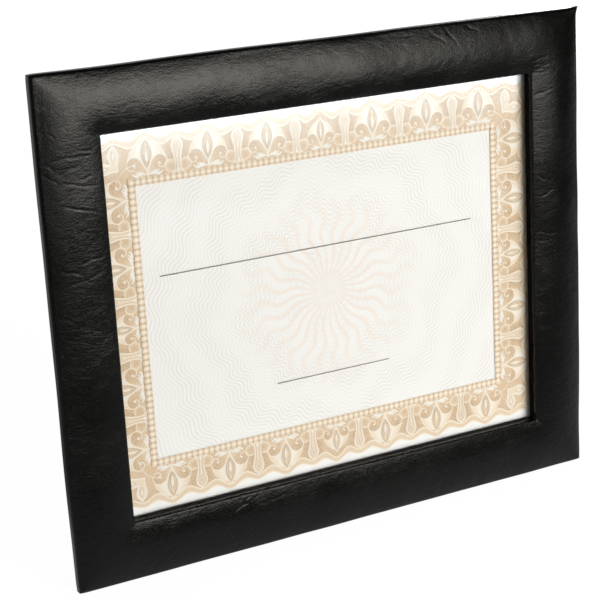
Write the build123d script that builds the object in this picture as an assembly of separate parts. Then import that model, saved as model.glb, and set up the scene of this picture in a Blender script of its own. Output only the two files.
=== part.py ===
from build123d import *
import math
import os

os.makedirs("parts", exist_ok=True)

# Driving sizes in mm and degrees. Panel frame: X right, Y up the panel, Z out of its front.
CERT_W = 279.4
CERT_H = 215.9
PAPER_T = 0.25
SIDE_LAP = 13.7
END_LAP = 7.35
RAIL = 32.75
LEAN = 10.0

# Front panel
SKIN = 0.8
BOARD_T = 2.5
FOAM_EDGE = 1.4
FOAM_CREST = 5.4
FOAM_LIP = 2.9
CREST_AT = 0.48
SHOULDER_R = 2.4
LIP_R = 1.6
LIP_TURN = 2.0
FRONT_FLAP = 14.0
GLAZING_LAP = 10.0

# Pocket and rear panel
POCKET_T = 1.0
REAR_INSET = 3.0
SPACER_INSET = 1.5
CERT_CLEAR = 0.8
PAPER_GAP = 0.1
REAR_SKIN = 0.5
REAR_BOARD_T = 2.2
REAR_FLAP = 14.0
THUMB_GRIP = 9.0

# Easel
STRUT_OPEN = 18.0
LEAF_BELOW_NOTCH = 12.3
PIN_R = 1.1
RUN_CLEAR = 0.05
LEAF_T = 0.8
LEAF_W = 36.0
LEAF_L = 30.0
KNUCKLE_W = 16.0
KNUCKLE_GAP = 0.3
PIN_HEAD_T = 0.8
TAB_STEP = 3.0
STOP_GAP = 0.1
FOLD_GAP = 0.6
STRUT_MARGIN = 5.0
STRUT_FOOT_W = 80.0
STRUT_DROP = 4.0
STRUT_CORNER_R = 6.0
RIVET_R = 1.4
RIVET_HEAD_R = 2.8
RIVET_HEAD_T = 1.1
RIVET_TAIL_R = 2.2
RIVET_TAIL_T = 0.35
RIVET_SIDE = 8.0
RIVET_END = 10.0
HOLE_CLEAR = 0.05

# Outer size and places in the plane of the panel
FRAME_W = CERT_W - 2 * SIDE_LAP + 2 * RAIL
FRAME_H = CERT_H - 2 * END_LAP + 2 * RAIL
CERT_BASE = RAIL - END_LAP
POCKET_SIDE = RAIL - SIDE_LAP - CERT_CLEAR
REAR_TOP = FRAME_H - REAR_INSET
THUMB_R = CERT_BASE - REAR_INSET + THUMB_GRIP
PIN_UP = REAR_TOP - THUMB_R - LEAF_BELOW_NOTCH - LEAF_L
RIVET_X = LEAF_W / 2 - RIVET_SIDE
RIVET_AWAY = LEAF_L - RIVET_END
TAB_W = KNUCKLE_W - 2 * TAB_STEP
STRUT_TOP_W = LEAF_W + 2 * STRUT_MARGIN

# Levels through the thickness, from the back of the rear panel
REAR_T = 2 * REAR_SKIN + REAR_BOARD_T
FLAP_H = REAR_T + POCKET_T
BOARD_H = FLAP_H + SKIN
FOAM_H = BOARD_H + BOARD_T
LIP_H = FOAM_H + FOAM_LIP + SKIN
LINER_TOP = LIP_H - LIP_TURN
KNUCKLE_R = PIN_R + RUN_CLEAR + LEAF_T
LEAF_INNER = KNUCKLE_R - LEAF_T
STRUT_REAR = -2 * KNUCKLE_R + LEAF_T
STRUT_T = -STRUT_REAR - FOLD_GAP
TAB_L = (LEAF_INNER * math.cos(math.radians(STRUT_OPEN)) + LEAF_INNER - STOP_GAP) \
    / math.sin(math.radians(STRUT_OPEN))
HINGE = Pos(0, PIN_UP, -KNUCKLE_R)


def block(x0, x1, y0, y1, z0, z1):
    """Box between two corners."""
    return Pos(x0, y0, z0) * Box(x1 - x0, y1 - y0, z1 - z0, align=(Align.MIN,) * 3)


def rod(radius, x, y, z0, z1):
    """Round bar along the thickness."""
    return Pos(x, y, z0) * Cylinder(radius, z1 - z0, align=(Align.CENTER, Align.CENTER, Align.MIN))


def bar(radius, x0, x1):
    """Round bar along the hinge axis."""
    along = Rot(Y=90) * Cylinder(radius, x1 - x0, align=(Align.CENTER, Align.CENTER, Align.MIN))
    return HINGE * Pos(x0, 0, 0) * along


# Front panel
def crown_circle():
    """Centre and radius of the crown through edge, crest and lip."""
    base = FOAM_H + SKIN
    x1, y1 = 0, base + FOAM_EDGE
    x2, y2 = CREST_AT * RAIL, base + FOAM_CREST
    x3, y3 = RAIL, LIP_H
    d = 2 * (x1 * (y2 - y3) + x2 * (y3 - y1) + x3 * (y1 - y2))
    s1, s2, s3 = x1 * x1 + y1 * y1, x2 * x2 + y2 * y2, x3 * x3 + y3 * y3
    cx = (s1 * (y2 - y3) + s2 * (y3 - y1) + s3 * (y1 - y2)) / d
    cy = (s1 * (x3 - x2) + s2 * (x1 - x3) + s3 * (x2 - x1)) / d
    return cx, cy, math.hypot(x1 - cx, y1 - cy)


def pad_section(inset, floor):
    """Section of a padded rail, drawn in by inset, with its rolled shoulder and lip."""
    cx, cy, radius = crown_circle()

    def on_crown(u):
        return (u, cy + math.sqrt((radius - inset) ** 2 - (u - cx) ** 2))

    left, right = on_crown(inset), on_crown(RAIL - inset)
    walls = Polyline(left, (inset, floor), (RAIL - inset, floor), right)
    face = make_face(walls + ThreePointArc(left, on_crown(RAIL / 2), right))
    for corner, roll in ((left, SHOULDER_R), (right, LIP_R)):
        vertex = face.vertices().sort_by_distance((*corner, 0))[0]
        face = fillet(vertex, roll - inset)
    return face


def rail_ring(section):
    """Section run along the four rails, mitred at the corners and joined."""
    rails = []
    reach = RAIL + 1
    for turn, (length, half) in enumerate(((FRAME_W, FRAME_H / 2), (FRAME_H, FRAME_W / 2)) * 2):
        plane = Plane((-length / 2, -half, 0), x_dir=(0, 1, 0), z_dir=(1, 0, 0))
        run = extrude(plane * section, length)
        outer, inner = length / 2, length / 2 - reach
        corners = (-outer, -half), (outer, -half), (inner, reach - half), (-inner, reach - half)
        plan = make_face(Polyline(*corners, close=True))
        rails.append(Rot(Z=90 * turn) * (run & extrude(plan, 2 * LIP_H)))
    return Pos(0, FRAME_H / 2, 0) * (rails[0] + rails[1] + rails[2] + rails[3])


def section_box(u0, u1, h0, h1):
    """Rectangle in the rail section."""
    return Pos((u0 + u1) / 2, (h0 + h1) / 2) * Rectangle(u1 - u0, h1 - h0)


def front_board():
    return rail_ring(section_box(SKIN, RAIL - SKIN, BOARD_H, FOAM_H))


def foam_pad():
    return rail_ring(pad_section(SKIN, FOAM_H))


def leatherette_cover():
    """Skin over foam and board, turned over the outer edge, ending on the liners at the window."""
    skin = pad_section(0, FLAP_H) - pad_section(SKIN, BOARD_H)
    skin -= section_box(FRONT_FLAP, RAIL, FLAP_H, BOARD_H)
    skin -= section_box(RAIL - SKIN, RAIL, FLAP_H, LINER_TOP)
    return rail_ring(skin)


def window_liner(side):
    """Strip on one wall of the window, the upright ones between the level ones."""
    half = FRAME_W / 2 - RAIL
    low, high = RAIL, FRAME_H - RAIL
    if side == "bottom":
        return block(-half - SKIN, half + SKIN, low - SKIN, low, BOARD_H, LINER_TOP)
    if side == "top":
        return block(-half - SKIN, half + SKIN, high, high + SKIN, BOARD_H, LINER_TOP)
    inner = half if side == "right" else -half - SKIN
    return block(inner, inner + SKIN, low, high, BOARD_H, LINER_TOP)


# Pocket
def glazing():
    half = FRAME_W / 2 - RAIL + GLAZING_LAP
    reach = RAIL - GLAZING_LAP
    return block(-half, half, reach, FRAME_H - reach, FLAP_H, BOARD_H)


def certificate():
    base = REAR_T + PAPER_GAP
    return block(-CERT_W / 2, CERT_W / 2, CERT_BASE, CERT_BASE + CERT_H, base, base + PAPER_T)


def pocket_spacer(side):
    """Strip that keeps the two panels apart."""
    inset = REAR_INSET + SPACER_INSET
    edge = FRAME_W / 2 - inset
    if side == "bottom":
        return block(-edge, edge, inset, CERT_BASE, REAR_T, FLAP_H)
    wall = FRAME_W / 2 - POCKET_SIDE
    x0, x1 = (wall, edge) if side == "right" else (-edge, -wall)
    return block(x0, x1, CERT_BASE, FRAME_H - inset, REAR_T, FLAP_H)


# Rear panel
def rear_outline(inset, z0, thickness):
    """Plate of the rear panel drawn in by inset, with the thumb notch at the top."""
    half = FRAME_W / 2 - REAR_INSET - inset
    plate = block(-half, half, REAR_INSET + inset, REAR_TOP - inset, z0, z0 + thickness)
    return plate - rod(THUMB_R + inset, 0, REAR_TOP, z0, z0 + thickness)


def panel_rivet_spots():
    return [(side * RIVET_X, PIN_UP + RIVET_AWAY) for side in (-1, 1)]


def rivet_holes(spots, z0, z1):
    return [rod(RIVET_R + HOLE_CLEAR, x, y, z0, z1) for x, y in spots]


def rear_board():
    board = rear_outline(REAR_SKIN, REAR_SKIN, REAR_BOARD_T)
    return board - rivet_holes(panel_rivet_spots(), 0, REAR_T)


def rear_cover():
    """Wrap with its turned flaps round the rear board."""
    wrap = rear_outline(0, 0, REAR_T) - rear_outline(REAR_SKIN, REAR_SKIN, REAR_BOARD_T)
    wrap -= rear_outline(REAR_FLAP, REAR_SKIN + REAR_BOARD_T, REAR_SKIN)
    return wrap - rivet_holes(panel_rivet_spots(), 0, REAR_SKIN)


def rear_lining():
    return rear_outline(REAR_FLAP, REAR_SKIN + REAR_BOARD_T, REAR_SKIN)


# Easel, drawn folded against the rear panel
def knuckle(x0, x1):
    return bar(KNUCKLE_R, x0, x1) - bar(PIN_R + RUN_CLEAR, x0, x1)


def hinge_panel_leaf():
    """Leaf above the pin with two knuckles, notched for the strut's knuckle."""
    half, notch = LEAF_W / 2, KNUCKLE_W / 2 + KNUCKLE_GAP
    leaf = block(-half, half, PIN_UP, PIN_UP + LEAF_L, -LEAF_T, 0)
    leaf -= block(-notch, notch, PIN_UP, PIN_UP + KNUCKLE_R + KNUCKLE_GAP, -LEAF_T, 0)
    leaf -= rivet_holes(panel_rivet_spots(), -LEAF_T, 0)
    return leaf + knuckle(-half, -notch) + knuckle(notch, half)


def strut_rivet_spots():
    return [(side * RIVET_X, PIN_UP - RIVET_AWAY) for side in (-1, 1)]


def hinge_strut_leaf():
    """Leaf below the pin with one knuckle and a tab past the pin that stops on the panel leaf."""
    half, tongue = LEAF_W / 2, KNUCKLE_W / 2
    rear = -2 * KNUCKLE_R
    leaf = block(-half, half, PIN_UP - LEAF_L, PIN_UP - KNUCKLE_R - KNUCKLE_GAP, rear, STRUT_REAR)
    leaf += block(-tongue, tongue, PIN_UP - KNUCKLE_R - KNUCKLE_GAP, PIN_UP, rear, STRUT_REAR)
    leaf += block(-TAB_W / 2, TAB_W / 2, PIN_UP, PIN_UP + TAB_L, rear, STRUT_REAR)
    leaf -= rivet_holes(strut_rivet_spots(), rear, STRUT_REAR)
    return leaf + knuckle(-tongue, tongue)


def hinge_pin():
    half = LEAF_W / 2
    pin = bar(PIN_R, -half, half)
    return pin + bar(KNUCKLE_R, half, half + PIN_HEAD_T) + bar(KNUCKLE_R, -half - PIN_HEAD_T, -half)


def rivet_head(x, y, z):
    """Low rounded head on the back."""
    head = rod(RIVET_HEAD_R, x, y, z - RIVET_HEAD_T, z)
    return fillet(head.edges().sort_by(Axis.Z)[:1], RIVET_HEAD_T * 0.8)


def hinge_panel_rivets():
    tip = REAR_SKIN + REAR_BOARD_T
    return Compound([rivet_head(x, y, -LEAF_T) + rod(RIVET_R, x, y, -LEAF_T, tip)
                     for x, y in panel_rivet_spots()])


def hinge_strut_rivets():
    rear, front = -2 * KNUCKLE_R, -FOLD_GAP
    return Compound([rivet_head(x, y, rear) + rod(RIVET_R, x, y, rear, front)
                     + rod(RIVET_TAIL_R, x, y, front, front + RIVET_TAIL_T)
                     for x, y in strut_rivet_spots()])


def strut_plate(inset):
    """Tapered plate of the strut drawn in by inset, running on below the foot."""
    top, low = PIN_UP - STRUT_DROP, -STRUT_FOOT_W / 4
    spread = (STRUT_FOOT_W - STRUT_TOP_W) / 2 / top
    half_top, half_low = STRUT_TOP_W / 2, STRUT_TOP_W / 2 + spread * (top - low)
    corners = (-half_top, top), (half_top, top), (half_low, low), (-half_low, low)
    plan = make_face(Polyline(*corners, close=True))
    plan = fillet(plan.vertices().sort_by(Axis.Y)[-2:], STRUT_CORNER_R)
    if inset:
        plan = offset(plan, amount=-inset)
    plate = extrude(Pos(0, 0, STRUT_REAR + inset) * plan, STRUT_T - 2 * inset)
    return plate - rivet_holes(strut_rivet_spots(), STRUT_REAR, -FOLD_GAP)


def lean_back(shape):
    """Stand the front panel on its lower rear edge, leaning back."""
    return Rot(X=90 - LEAN) * Pos(0, 0, -FLAP_H) * shape


def swing_out(shape):
    """Turn a strut piece about the pin to its open stop, then lean it with the panel."""
    return lean_back(HINGE * Rot(X=STRUT_OPEN) * HINGE.inverse() * shape)


def foot_cut(shape, level):
    """Cut a standing strut piece level above the floor."""
    span = 2 * FRAME_W
    return shape - block(-span, span, -span, span, -span, level)


def strut_board():
    return foot_cut(swing_out(strut_plate(REAR_SKIN)), REAR_SKIN)


def strut_cover():
    return foot_cut(swing_out(strut_plate(0)), 0) - strut_board()


fixed = {
    "front_board": front_board(),
    "foam_pad": foam_pad(),
    "leatherette_cover": leatherette_cover(),
    "glazing": glazing(),
    "certificate": certificate(),
    "rear_board": rear_board(),
    "rear_cover": rear_cover(),
    "rear_lining": rear_lining(),
    "hinge_panel_leaf": hinge_panel_leaf(),
    "hinge_pin": hinge_pin(),
    "hinge_panel_rivets": hinge_panel_rivets(),
}
for wall in ("top", "bottom", "left", "right"):
    fixed["window_liner_" + wall] = window_liner(wall)
for edge in ("left", "right", "bottom"):
    fixed["pocket_spacer_" + edge] = pocket_spacer(edge)

nodes = {name: lean_back(shape) for name, shape in fixed.items()}
nodes["hinge_strut_leaf"] = swing_out(hinge_strut_leaf())
nodes["hinge_strut_rivets"] = swing_out(hinge_strut_rivets())
nodes["strut_board"] = strut_board()
nodes["strut_cover"] = strut_cover()

# Bounding box centred over the origin, floor at zero
extent = Compound(list(nodes.values())).bounding_box()
centre = Pos(-extent.center().X, -extent.center().Y, -extent.min.Z)
for name, shape in nodes.items():
    export_step(centre * shape, "parts/" + name + ".step")
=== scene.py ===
import math

import bpy
import numpy as np
from mathutils import Matrix


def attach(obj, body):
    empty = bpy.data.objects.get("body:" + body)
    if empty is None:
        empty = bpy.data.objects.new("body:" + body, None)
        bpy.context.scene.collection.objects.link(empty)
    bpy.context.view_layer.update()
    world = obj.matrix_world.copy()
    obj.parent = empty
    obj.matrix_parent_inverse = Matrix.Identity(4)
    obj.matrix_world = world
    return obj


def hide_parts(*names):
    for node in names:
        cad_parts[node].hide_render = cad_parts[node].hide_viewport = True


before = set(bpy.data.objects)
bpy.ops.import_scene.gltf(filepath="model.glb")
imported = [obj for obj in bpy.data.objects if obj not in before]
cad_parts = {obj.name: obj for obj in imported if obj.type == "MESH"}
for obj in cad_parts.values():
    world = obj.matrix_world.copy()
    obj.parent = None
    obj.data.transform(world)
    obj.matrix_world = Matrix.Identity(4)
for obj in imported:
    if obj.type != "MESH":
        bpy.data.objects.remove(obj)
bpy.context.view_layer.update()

# Sizes in mm. Panel coordinates: x right, s up the panel, h out of its front, counted from the back of the
# rear panel.
FRAME_W, FRAME_H, RAIL = 317.5, 266.7, 32.75
LEAN = math.radians(10.0)
FOOT_Y, FOOT_H = -29.7207, 4.2
CROWN_U, CROWN_H, CROWN_R = 18.174, -28.835, 42.606
SHOULDER_R, LIP_R = 2.4, 1.6
LINER_TOP = 9.2
PAPER_FACE = 3.55
REAR_W, REAR_LOW, REAR_TOP, REAR_T, THUMB_R = 311.5, 3.0, 263.7, 3.2, 31.4
PIN_S, PIN_H, STRUT_OPEN = 190.0, -1.95, math.radians(18.0)
STRUT_BACK, STRUT_FRONT, STRUT_TOP = -3.1, -0.6, 186.0
PRINT_X, PRINT_S = -2.2, 132.9
BEAD_HALF_W, BEAD_HALF_H = 107.2, 74.0
BEAD_BAND = 1.85


# Shapes
def stand(x, s, h):
    """Panel point in mm to the standing frame in metres: turn by the lean about the lower rear edge."""
    h = np.asarray(h) - FOOT_H
    y = s * math.sin(LEAN) - h * math.cos(LEAN) + FOOT_Y
    z = s * math.cos(LEAN) + h * math.sin(LEAN)
    return np.stack(np.broadcast_arrays(x, y, z), -1) * 0.001


def grid_quads(rows, cols, close_rows=False, close_cols=False):
    """Quads of a grid stored row by row; a closed way joins its last line to its first."""
    index = np.arange(rows * cols).reshape(rows, cols)
    if close_rows:
        index = np.vstack((index, index[:1]))
    if close_cols:
        index = np.hstack((index, index[:, :1]))
    corners = index[:-1, :-1], index[:-1, 1:], index[1:, 1:], index[1:, :-1]
    return np.stack(corners, -1).reshape(-1, 4)


def make_piece(name, points, faces, finish, body, colours=None, smooth=True):
    """Mesh object at the origin from points and faces, with a point colour where one is given."""
    mesh = bpy.data.meshes.new(name)
    mesh.from_pydata(points.reshape(-1, 3).tolist(), [], faces)
    mesh.polygons.foreach_set("use_smooth", np.full(len(mesh.polygons), smooth))
    if colours is not None:
        tint = mesh.color_attributes.new("ink", "FLOAT_COLOR", "POINT")
        tint.data.foreach_set("color", np.ascontiguousarray(colours, np.float32).ravel())
    mesh.update()
    piece = bpy.data.objects.new(name, mesh)
    bpy.context.scene.collection.objects.link(piece)
    mesh.materials.append(finish)
    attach(piece, body)
    return piece


def ripple(x, s, wave, seed, count=14):
    """Smooth unevenness of about unit size: a sum of plane waves of nearly one length, in seeded directions
    and phases."""
    rng = np.random.default_rng(seed)
    turn, phase = rng.uniform(0, 2 * np.pi, (2, count))
    k = 2 * np.pi / (wave * rng.uniform(0.7, 1.5, count))
    arg = np.multiply.outer(x, k * np.cos(turn)) + np.multiply.outer(s, k * np.sin(turn)) + phase
    return np.sin(arg).sum(-1) * math.sqrt(2 / count)


# Padded front
def crown(u):
    """Skin height over the run u from the outer edge: one circle for the crown, and a smaller circle that
    touches it at the shoulder and at the lip."""
    run = np.clip(u, 0, RAIL)
    arc = CROWN_H + np.sqrt(CROWN_R ** 2 - (run - CROWN_U) ** 2)
    for side, roll in ((0.0, SHOULDER_R), (RAIL, LIP_R)):
        centre = abs(side - roll)
        level = CROWN_H + math.sqrt((CROWN_R - roll) ** 2 - (centre - CROWN_U) ** 2)
        touch = CROWN_U + (centre - CROWN_U) * CROWN_R / (CROWN_R - roll)
        rolled = level + np.sqrt(np.maximum(roll ** 2 - (run - centre) ** 2, 0))
        arc = np.where((run - touch) * (side - touch) > 0, rolled, arc)
    return arc


def pad_run(x, s):
    """Run across the pad, 0 at the outer edge and RAIL at the window, with round turns at the corners: outer
    distance as a power mean of the two sides, window distance straight, their share of the sum."""
    dx = FRAME_W / 2 - np.abs(x)
    ds = FRAME_H / 2 - np.abs(s - FRAME_H / 2)
    outer = (np.maximum(dx, 1e-6) ** -4.0 + np.maximum(ds, 1e-6) ** -4.0) ** -0.25
    window = np.hypot(np.maximum(RAIL - dx, 0), np.maximum(RAIL - ds, 0))
    window = np.where((dx < RAIL) & (ds < RAIL), window, RAIL - np.minimum(dx, ds))
    return RAIL * outer / (outer + np.maximum(window, 0))


CREASE_DEPTH, CREASE_HALF, CREASE_FADE = 0.14, 0.62, 7
CREASES = (
    # x, s of both ends: left side, top, upper right corner, right side, bottom
    (-158, 241, -149, 235), (-157, 224, -131, 226), (-157, 224, -151, 220), (-158, 220, -150, 213),
    (-150, 217, -139, 222), (-140, 215, -133, 215), (-149, 213, -131, 211), (-150, 202, -129, 197),
    (-138, 228, -131, 227), (-143, 173, -130, 176), (-153, 163, -129, 168), (-153, 172, -143, 168),
    (-139, 129, -130, 136), (-154, 148, -147, 144),
    (61, 265, 71, 256), (70, 265, 79, 254), (43, 263, 51, 262), (85, 265, 92, 261),
    (125, 241, 136, 242), (126, 238, 137, 238), (127, 236, 138, 236), (128, 234, 136, 235),
    (127, 221, 142, 226),
    (128, 177, 138, 173), (130, 165, 139, 168), (127, 144, 140, 143), (128, 139, 138, 140),
    (133, 112, 141, 115),
    (-74, 23, -54, 32), (-71, 26, -59, 31), (-50, 25, -39, 28),
)


def crease(x, s, x0, s0, x1, s1):
    """Line pressed into the skin: a bell across the line with a raised rim, faded at both ends and bent a
    little by two sines along it."""
    dx, ds = x1 - x0, s1 - s0
    length = math.hypot(dx, ds)
    along = ((x - x0) * dx + (s - s0) * ds) / length ** 2
    off = ((x - x0) * ds - (s - s0) * dx) / length
    off = off + 0.6 * np.sin(3.1 * along + x0) + 0.25 * np.sin(9 * along + s0)
    fade = np.clip(along * CREASE_FADE, 0, 1) * np.clip((1 - along) * CREASE_FADE, 0, 1)
    t = (off / CREASE_HALF) ** 2
    return CREASE_DEPTH * fade * ((0.45 * t - 1) * np.exp(-t / 1.6))


# Swells and dimples of the pad: height, wave length, seed, number of waves
SWELLS = (0.09, 75, 3, 14), (0.045, 26, 4, 14), (0.018, 9, 5, 14), (0.010, 4.2, 6, 22)


def pad_relief(x, s):
    """Unevenness of the pad in mm: broad swells, small dimples and pressed creases."""
    lift = np.zeros_like(x)
    for height, wave, seed, count in SWELLS:
        lift += height * ripple(x, s, wave, seed, count)
    for row in CREASES:
        lift += crease(x, s, *row)
    return lift


STEPS_LONG, STEPS_UPRIGHT, STEPS_CROWN = 498, 422, 74
FLAP_FACE, FLAP_REACH, FLAP_T = 4.2, 14.0, 0.8
TURN_R, WALL_FOOT, LIP_TURN = 0.7, 5.6, 0.7
EASE_SHOULDER, EASE_LIP = 3.0, 2.2
CORNER, CORNER_PULL, EAR_REACH, EAR_LIFT = 5.0, 0.3, 0.7, 1.1


def pad_mitres():
    """Points along the outer edge and along the window, with a mitred line from each one to its partner."""
    a, b = FRAME_W / 2, FRAME_H / 2
    outer = np.array([(-a, -b), (a, -b), (a, b), (-a, b), (-a, -b)])
    inner = outer * ((a - RAIL) / a, (b - RAIL) / b)
    steps = STEPS_LONG, STEPS_UPRIGHT, STEPS_LONG, STEPS_UPRIGHT
    cut = [np.linspace(0, 1, n, endpoint=False)[:, None] for n in steps]
    rim = np.vstack([outer[i] + (outer[i + 1] - outer[i]) * cut[i] for i in range(4)])
    hole = np.vstack([inner[i] + (inner[i + 1] - inner[i]) * cut[i] for i in range(4)])
    return rim, hole


def pad_section():
    """Section of the skin from the flap's hidden edge round to the liner: run and level of each point, and
    which of them lie on the crown, whose level follows from the run."""
    bend = np.linspace(0, np.pi / 2, 4)
    flap_u = np.array([FLAP_REACH, FLAP_REACH, FLAP_REACH / 2, FLAP_REACH / 7])
    flap_h = FLAP_FACE + np.array([FLAP_T, 0, 0, 0])
    turn_u, turn_h = TURN_R - TURN_R * np.sin(bend), FLAP_FACE + TURN_R - TURN_R * np.cos(bend)
    wall_h = np.linspace(WALL_FOOT, crown(np.zeros(1))[0], 4, endpoint=False)
    v = np.linspace(0, 1, STEPS_CROWN)
    top_u = RAIL * (0.55 * v + 0.45 * (0.5 - 0.5 * np.cos(np.pi * v)))
    top_u[1:4] = 0.06, 0.24, 0.55
    top_u[-4:-1] = RAIL - np.array([0.5, 0.2, 0.05])
    lip_h = np.linspace(crown(np.full(1, RAIL))[0], LINER_TOP, 4)[1:]

    u = np.concatenate((flap_u, turn_u, 0 * wall_h, top_u, np.full(3, RAIL), [RAIL - LIP_TURN]))
    level = np.concatenate((flap_h, turn_h, wall_h, 0 * top_u, lip_h, [LINER_TOP]))
    first = len(flap_u) + len(turn_u) + len(wall_h)
    on_top = np.zeros(len(u), bool)
    on_top[first:first + len(top_u)] = True
    return u, level, on_top


def draw_corners(x, s, h, run):
    """Corners drawn in a little, but a small ear at the upper right; outer edge swayed by a long ripple."""
    dx, ds = FRAME_W / 2 - np.abs(x), FRAME_H / 2 - np.abs(s - FRAME_H / 2)
    near = np.clip(1 - dx / CORNER, 0, 1) ** 2 * np.clip(1 - ds / CORNER, 0, 1) ** 2
    ear = (x > 0) & (s > FRAME_H / 2)
    pull = np.where(ear, -EAR_REACH, CORNER_PULL) * near
    x, s = x - np.sign(x) * pull, s - np.sign(s - FRAME_H / 2) * pull
    h = h + np.where(ear & (h > 7), EAR_LIFT, 0) * near
    sway = 0.16 * ripple(x, s, 90, 9) * np.clip(1 - run / 4, 0, 1)
    x = x + np.where(dx < ds, sway * np.sign(x), 0)
    s = s + np.where((ds <= dx) & (s > FRAME_H / 2), sway, 0)
    return x, s, h


def padded_front(finish):
    """Skin of the padded ring: the section carried round the four sides along the mitred lines, and closed
    inside the board."""
    rim, hole = pad_mitres()
    u, level, on_top = pad_section()
    share = (u / RAIL)[None, :, None]
    flat = rim[:, None] * (1 - share) + hole[:, None] * share
    x, s = flat[..., 0], flat[..., 1] + FRAME_H / 2

    run = pad_run(x, s)
    ease = np.clip(run / EASE_SHOULDER, 0, 1) * np.clip((RAIL - run) / EASE_LIP, 0.15, 1)
    h = np.where(on_top, crown(run) + pad_relief(x, s) * ease, level)
    h = h + 0.10 * ripple(x, s, 40, 8) * (h > 6)
    x, s, h = draw_corners(x, s, h, run)

    faces = grid_quads(*x.shape, close_rows=True, close_cols=True)[:, ::-1]
    return make_piece("padded_front", stand(x, s, h), faces.tolist(), finish, "frame")


# Wrapped boards
REAR_ROLL, REAR_FLAP, FLAP_STEP = 0.9, 14.0, 0.45
STRUT_HALF, STRUT_SPREAD, STRUT_CORNER, STRUT_ROLL = 23.0, 17.0, 6.0, 0.7


def wrap_rings(outline, profile):
    """Rings of an outline drawn in by each inset of the profile and set to its level: rings x points x 3."""
    rings = []
    for inset, h in profile:
        flat = outline(inset, h)
        rings.append(np.column_stack((flat, np.full(len(flat), h))))
    return np.stack(rings)


def wrap_faces(rings):
    """Quads between the rings, and one flat face each over the first and the last ring."""
    count, n = rings.shape[:2]
    faces = grid_quads(count, n, close_cols=True).tolist()
    faces.append(list(range(n))[::-1])
    faces.append(list(range(count * n - n, count * n)))
    return faces


def rear_outline(inset, h):
    """Rear panel's outline drawn in by inset, the same at each level h: a rectangle with the thumb notch's
    arc in its upper side."""
    half, low, top = REAR_W / 2 - inset, REAR_LOW + inset, REAR_TOP - inset
    radius = THUMB_R + inset
    end = math.asin(inset / radius)
    arc = np.linspace(-end, end - np.pi, 48)
    notch = np.column_stack((radius * np.cos(arc), REAR_TOP + radius * np.sin(arc)))
    f = np.linspace(0, 1, 40, endpoint=False)[:, None]
    corners = np.array([notch[-1], (-half, top), (-half, low), (half, low), (half, top), notch[0]])
    sides = [corners[i] + (corners[i + 1] - corners[i]) * f for i in range(5)]
    return np.vstack([notch[:-1]] + sides)


def strut_outline(inset, h):
    """Strut's outline drawn in by inset: tapered sides, round upper corners, and a foot cut level with the
    floor, so that it moves up or down with the level h."""
    tilt = STRUT_OPEN - LEAN
    drop = PIN_S * math.cos(LEAN) - (FOOT_H - PIN_H) * math.sin(LEAN)
    low = PIN_S - (drop - (h - PIN_H) * math.sin(tilt)) / math.cos(tilt) + inset
    top = STRUT_TOP - inset
    spread = (STRUT_TOP - np.array((top, low))) * STRUT_SPREAD / STRUT_TOP
    half_top, half_low = STRUT_HALF - inset + spread
    radius = max(STRUT_CORNER - inset, 1.0)
    arc = np.linspace(0, np.pi / 2, 9)
    right = np.column_stack((half_top - radius + radius * np.cos(arc), top - radius + radius * np.sin(arc)))
    left = right[::-1] * (-1, 1)
    f = np.linspace(0, 1, 24, endpoint=False)[:, None]
    stops = np.array([left[-1], (-half_low, low), (half_low, low), right[0]])
    lines = [stops[i] + (stops[i + 1] - stops[i]) * f for i in range(3)]
    return np.vstack([right, left[:-1]] + lines)


def rolled_edge(back, front, reach, roll):
    """Profile of a wrapped board edge: back face, rolled corner, wall, rolled corner, front face."""
    bend = np.linspace(0, np.pi / 2, 5)
    inset = roll - roll * np.sin(bend)
    rise = roll - roll * np.cos(bend)
    rows = [(reach, back)] + list(zip(inset, back + rise)) + list(zip(inset[::-1], front - rise[::-1]))
    return rows + [(reach, front)]


def rear_wrap(finish):
    """Leatherette round the rear board: rolled edge carried round the outline, flat back, and a flap on the
    front that ends in a small step."""
    profile = rolled_edge(0.0, REAR_T, 4.0, REAR_ROLL)[:-1]
    profile += [(REAR_FLAP, REAR_T), (REAR_FLAP, REAR_T - FLAP_STEP)]
    rings = wrap_rings(rear_outline, profile)
    points = stand(rings[..., 0], rings[..., 1], rings[..., 2])
    return make_piece("rear_wrap", points, wrap_faces(rings), finish, "frame", smooth=False)


def strut_wrap(finish):
    """Leatherette round the strut board: rolled edge carried round the outline, both faces flat."""
    rings = wrap_rings(strut_outline, rolled_edge(STRUT_BACK, STRUT_FRONT, 3.0, STRUT_ROLL))
    y, z = rings[..., 1] - PIN_S, rings[..., 2] - PIN_H
    c, w = math.cos(STRUT_OPEN), math.sin(STRUT_OPEN)
    points = stand(rings[..., 0], PIN_S + y * c - z * w, PIN_H + y * w + z * c)
    return make_piece("strut_wrap", points, wrap_faces(rings), finish, "easel", smooth=False)


# Finishes
def add(tree, kind, settings=None, **inputs):
    """New shader node; its inputs, by name with _ for a space or by number as i0, i1, take a value or a link
    from another node's socket."""
    node = tree.nodes.new("ShaderNode" + kind)
    for key, value in (settings or {}).items():
        setattr(node, key, value)
    for key, value in inputs.items():
        if key[0] == "i" and key[1:].isdigit():
            socket = node.inputs[int(key[1:])]
        else:
            socket = node.inputs[key.replace("_", " ")]
        if isinstance(value, bpy.types.NodeSocket):
            tree.links.new(value, socket)
        else:
            socket.default_value = value
    return node


def math_node(tree, operation, a, b=0.0, c=0.0, clamp=False):
    """Output of one sum, product or function of up to three values."""
    return add(tree, "Math", {"operation": operation, "use_clamp": clamp}, i0=a, i1=b, i2=c).outputs[0]


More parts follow.
